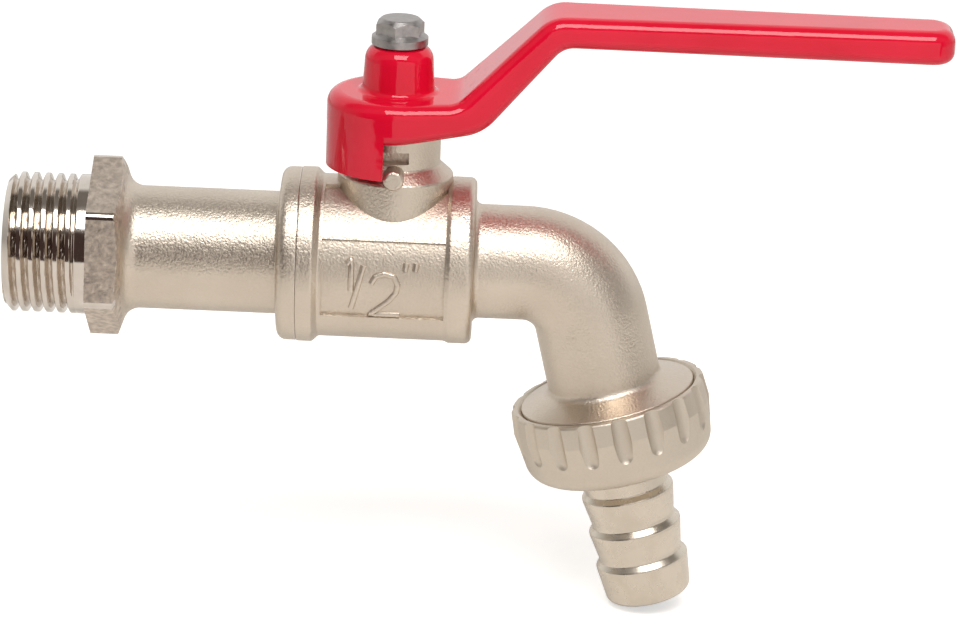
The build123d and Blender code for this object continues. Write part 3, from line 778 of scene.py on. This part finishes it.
def seen_glow(tree, to_camera, to_metal):
    """A glow for camera rays, another for mirror and glass rays, and none for the light on the object."""
    rays = tree.nodes.new("ShaderNodeLightPath").outputs
    sharp = math_node(tree, "MAXIMUM", rays["Is Glossy Ray"], rays["Is Transmission Ray"])
    on_metal = math_node(tree, "MULTIPLY", sharp, to_metal)
    return math_node(tree, "MULTIPLY_ADD", rays["Is Camera Ray"], to_camera, on_metal)


def white_paper(name):
    """Matt white paper that is seen lifted to white, with the shadow left in."""
    material, tree, shader = new_finish(name, Roughness=0.9, Specular_IOR_Level=0.0)
    grain = noise(tree, place_node(tree), 400.0)
    paper = ramp(tree, grain, (0.3, (0.79, 0.765, 0.73)), (0.7, (0.81, 0.785, 0.75)))
    tree.links.new(paper, shader.inputs["Base Color"])
    tree.links.new(seen_glow(tree, LIFT_TO_CAMERA, LIFT_TO_METAL), shader.inputs["Emission Strength"])
    shader.inputs["Emission Color"].default_value = (1.0, 1.0, 1.0, 1.0)
    return material


front_corners = [(-FLOOR_SIDE, FLOOR_FRONT, 0.0), (FLOOR_SIDE, FLOOR_FRONT, 0.0)]
back_corners = [(FLOOR_SIDE, FLOOR_BACK, 0.0), (-FLOOR_SIDE, FLOOR_BACK, 0.0)]
floor_mesh = bpy.data.meshes.new("floor")
floor_mesh.from_pydata(front_corners + back_corners, [], [(0, 1, 2, 3)])
floor = add_object("floor", floor_mesh)
floor.location.z = FLOOR_LEVEL
floor_mesh.materials.append(white_paper("white_floor"))
print("floor at", round(FLOOR_LEVEL / MM, 2), "mm")

# %% [markdown]
# ## The room
# Bright metal shows the room around it, and the bands on the thread tell what was there: a dark room at
# the height of the lens, a grey wall above it, a dark ceiling, white behind and pale paper below. A
# picture of a studio could be used, but a few bands by angle of climb give the same reflections and stay
# editable. The two ends of the room, left and right, are plain grey.

# %% Bands of the room, by degrees of climb
WHITE = (1.0, 1.0, 1.0)
DARK_ROOM = (0.07, 0.045, 0.042)
UPPER_WALL = (0.35, 0.34, 0.33)
CEILING = (0.22, 0.205, 0.19)
GREY_ENDS = (0.5, 0.49, 0.48)
ENDS_FROM = 0.8
ROOM_BANDS = (
    (-180.0, WHITE),
    (-90.0, (0.8, 0.78, 0.75)),
    (-30.0, (0.5, 0.47, 0.45)),
    (-22.0, DARK_ROOM),
    (34.0, DARK_ROOM),
    (40.0, UPPER_WALL),
    (76.0, UPPER_WALL),
    (82.0, CEILING),
    (112.0, CEILING),
    (122.0, WHITE),
    (180.0, WHITE),
)
print("room:", len(ROOM_BANDS), "stops")


# %% World
def plain_colour(tree, colour):
    """One colour as a node."""
    node = tree.nodes.new("ShaderNodeRGB")
    node.outputs[0].default_value = (*colour, 1.0)
    return node.outputs[0]


def mixed(tree, factor, first, second):
    """Two colours mixed by a factor. The mix node has its colour sockets after those for numbers."""
    node = tree.nodes.new("ShaderNodeMix")
    node.data_type = "RGBA"
    first_colour, second_colour, mixed_colour = 6, 7, 2
    tree.links.new(factor, node.inputs[0])
    tree.links.new(first, node.inputs[first_colour])
    tree.links.new(second, node.inputs[second_colour])
    return node.outputs[mixed_colour]


world = bpy.data.worlds.new("studio")
bpy.context.scene.world = world
world.use_nodes = True
sky = world.node_tree
split = sky.nodes.new("ShaderNodeSeparateXYZ")
sky.links.new(sky.nodes.new("ShaderNodeTexCoord").outputs["Generated"], split.inputs[0])
toward = math_node(sky, "MULTIPLY", split.outputs["Y"], -1.0)
climb = math_node(sky, "ARCTAN2", split.outputs["Z"], toward)
share = spread(sky, climb, 0.0, 1.0, -math.pi, math.pi)
room = ramp(sky, share, *[((angle + 180.0) / 360.0, colour) for angle, colour in ROOM_BANDS])
ends = spread(sky, math_node(sky, "ABSOLUTE", split.outputs["X"]), 0.0, 1.0, ENDS_FROM, 1.0)
room = mixed(sky, ends, room, plain_colour(sky, GREY_ENDS))
camera_rays = sky.nodes.new("ShaderNodeLightPath").outputs["Is Camera Ray"]
seen_sky = mixed(sky, camera_rays, room, plain_colour(sky, WHITE))
sky.links.new(seen_sky, sky.nodes["Background"].inputs["Color"])
print("world:", len(sky.nodes), "nodes")

# %% [markdown]
# ## The lamps
# One softbox above the lens gives the white band along every round of the metal. A point lamp or the sun
# would give hard dots instead. A small card in front, at the height of the lever, puts a weak light on the
# red paint. Both are placed by what the metal mirrors, so the brightness is given as a mirror shows it.

# %% Softbox and fill card
SOFTBOX_RISE = math.radians(57.0)
SOFTBOX_DISTANCE = 0.8
SOFTBOX_SIZE = (0.54, 0.42)
SOFTBOX_BRIGHTNESS = 7.0
FILL_AIM = Vector((0.145, 0.0, 0.04))
FILL_DISTANCE = 0.15
FILL_SIZE = (0.23, 0.13)
FILL_BRIGHTNESS = 0.9


def lamp(name, centre, aim, size, brightness):
    """A rectangular lamp that faces a point. Its brightness is what a mirror would show."""
    data = bpy.data.lights.new(name, "AREA")
    data.shape = "RECTANGLE"
    data.size, data.size_y = size
    data.energy = brightness * math.pi * size[0] * size[1]
    holder = add_object(name, data)
    holder.location = centre
    holder.rotation_mode = "QUATERNION"
    holder.rotation_quaternion = (centre - aim).to_track_quat("Z", "Y")
    holder.visible_camera = False
    return holder


softbox_aim = Vector((0.12, 0.0, 0.0))
softbox_way = Vector((0.0, -math.cos(SOFTBOX_RISE), math.sin(SOFTBOX_RISE)))
softbox_centre = softbox_aim + softbox_way * SOFTBOX_DISTANCE
fill_centre = FILL_AIM - Vector((0.0, FILL_DISTANCE, 0.0))
lamps = [
    lamp("softbox", softbox_centre, softbox_aim, SOFTBOX_SIZE, SOFTBOX_BRIGHTNESS),
    lamp("fill_card", fill_centre, FILL_AIM, FILL_SIZE, FILL_BRIGHTNESS),
]
print("lamps:", [(holder.name, round(holder.data.energy, 2)) for holder in lamps])

# %% [markdown]
# ## Last lines
# Plain colour management keeps a written colour as it is.

# %% Finish
bpy.context.scene.view_settings.view_transform = "Standard"
